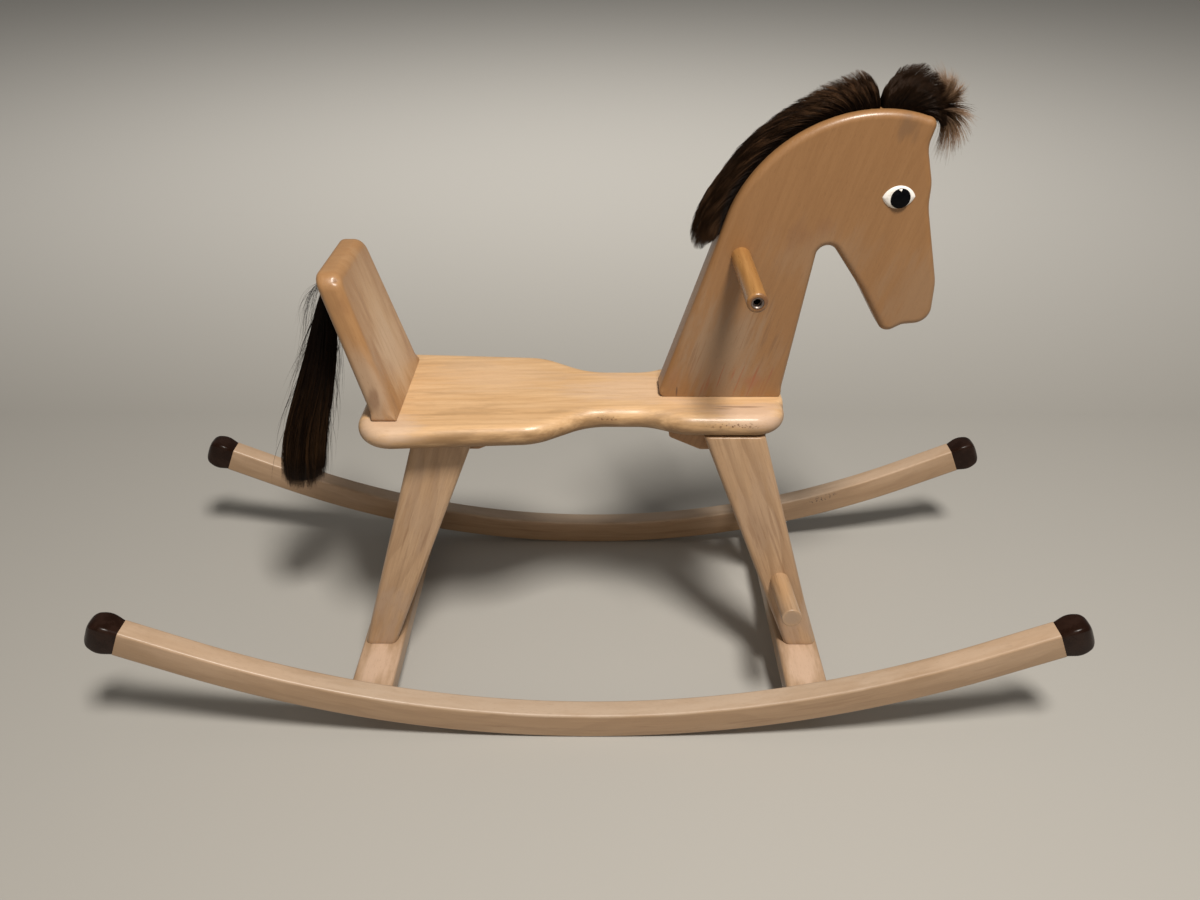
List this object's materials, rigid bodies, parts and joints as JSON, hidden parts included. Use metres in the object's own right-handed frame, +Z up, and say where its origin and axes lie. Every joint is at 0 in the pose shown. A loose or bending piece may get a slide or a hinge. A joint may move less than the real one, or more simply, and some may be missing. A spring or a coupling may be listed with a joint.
{
  "type": "rocking horse",
  "caption": "Wooden rocking horse: flat horse's head with hair mane, hourglass seat with backrest, splayed legs on bowed runners with end caps, hand and foot dowels, swinging hair tail.",
  "frame": {"origin": "on the floor, midway between the two runners, at the lowest point of their undersides", "axes": "+X forward toward the horse's nose, +Y toward the horse's left, +Z up"},
  "size_m": [0.9936, 0.3552, 0.6365],
  "materials": {
    "board_wood": "clear-varnished pine, warm and slightly aged",
    "runner_wood": "clear-varnished laminated beech, paler",
    "dowel_wood": "turned hardwood under yellowed clear varnish",
    "joint_dowel_wood": "fluted beech joint dowels, unfinished",
    "cap_plastic": "moulded dark brown plastic, glossy",
    "eye_white": "moulded white plastic, glossy",
    "eye_black": "moulded black plastic, polished",
    "zinc_steel": "zinc-plated steel",
    "mane_hair": "dark brown hair with lighter brown tips",
    "tail_hair": "dark brown to black hair",
    "hair_backing": "dark woven tape and binding thread"
  },
  "bodies": {
    "horse": {"runner_right": "runner_wood", "runner_left": "runner_wood", "cap_front_right": "cap_plastic", "cap_front_left": "cap_plastic", "cap_rear_right": "cap_plastic", "cap_rear_left": "cap_plastic", "crossbar_front": "runner_wood", "crossbar_rear": "runner_wood", "leg_front_right": "board_wood", "leg_front_left": "board_wood", "leg_rear_right": "board_wood", "leg_rear_left": "board_wood", "batten_front": "board_wood", "batten_rear": "board_wood", "seat_board": "board_wood", "backrest": "board_wood", "head_board": "board_wood", "handle_right": "dowel_wood", "handle_left": "dowel_wood", "handle_rod": "zinc_steel", "handle_nut_right": "zinc_steel", "handle_nut_left": "zinc_steel", "foot_rest_right": "dowel_wood", "foot_rest_left": "dowel_wood", "eye_right": "eye_white", "eye_left": "eye_white", "pupil_right": "eye_black", "pupil_left": "eye_black", "mane_tape": "hair_backing", "mane": "mane_hair", "forelock": "mane_hair", "tail_plug": "tail_hair", "runner_dowels": "joint_dowel_wood", "foot_screws": "zinc_steel", "leg_dowels": "joint_dowel_wood", "batten_screws": "zinc_steel", "neck_dowels": "joint_dowel_wood", "neck_screws": "zinc_steel", "backrest_dowels": "joint_dowel_wood"},
    "tail_root": {"tail_binding": "hair_backing"},
    "tail": {"tail": "tail_hair"}
  },
  "joints": [
    {"name": "tail_swing", "type": "hinge", "parent": "horse", "child": "tail_root", "pos_m": [-0.25205, 0, 0.43715], "axis": [0, 1, 0], "range_deg": [-12, 60], "stiffness_Nm_per_rad": 0.06, "springref_deg": 34.38},
    {"name": "tail_sway", "type": "hinge", "parent": "tail_root", "child": "tail", "pos_m": [-0.25205, 0, 0.43715], "axis": [1, 0, 0], "range_deg": [-30, 30]}
  ]
}
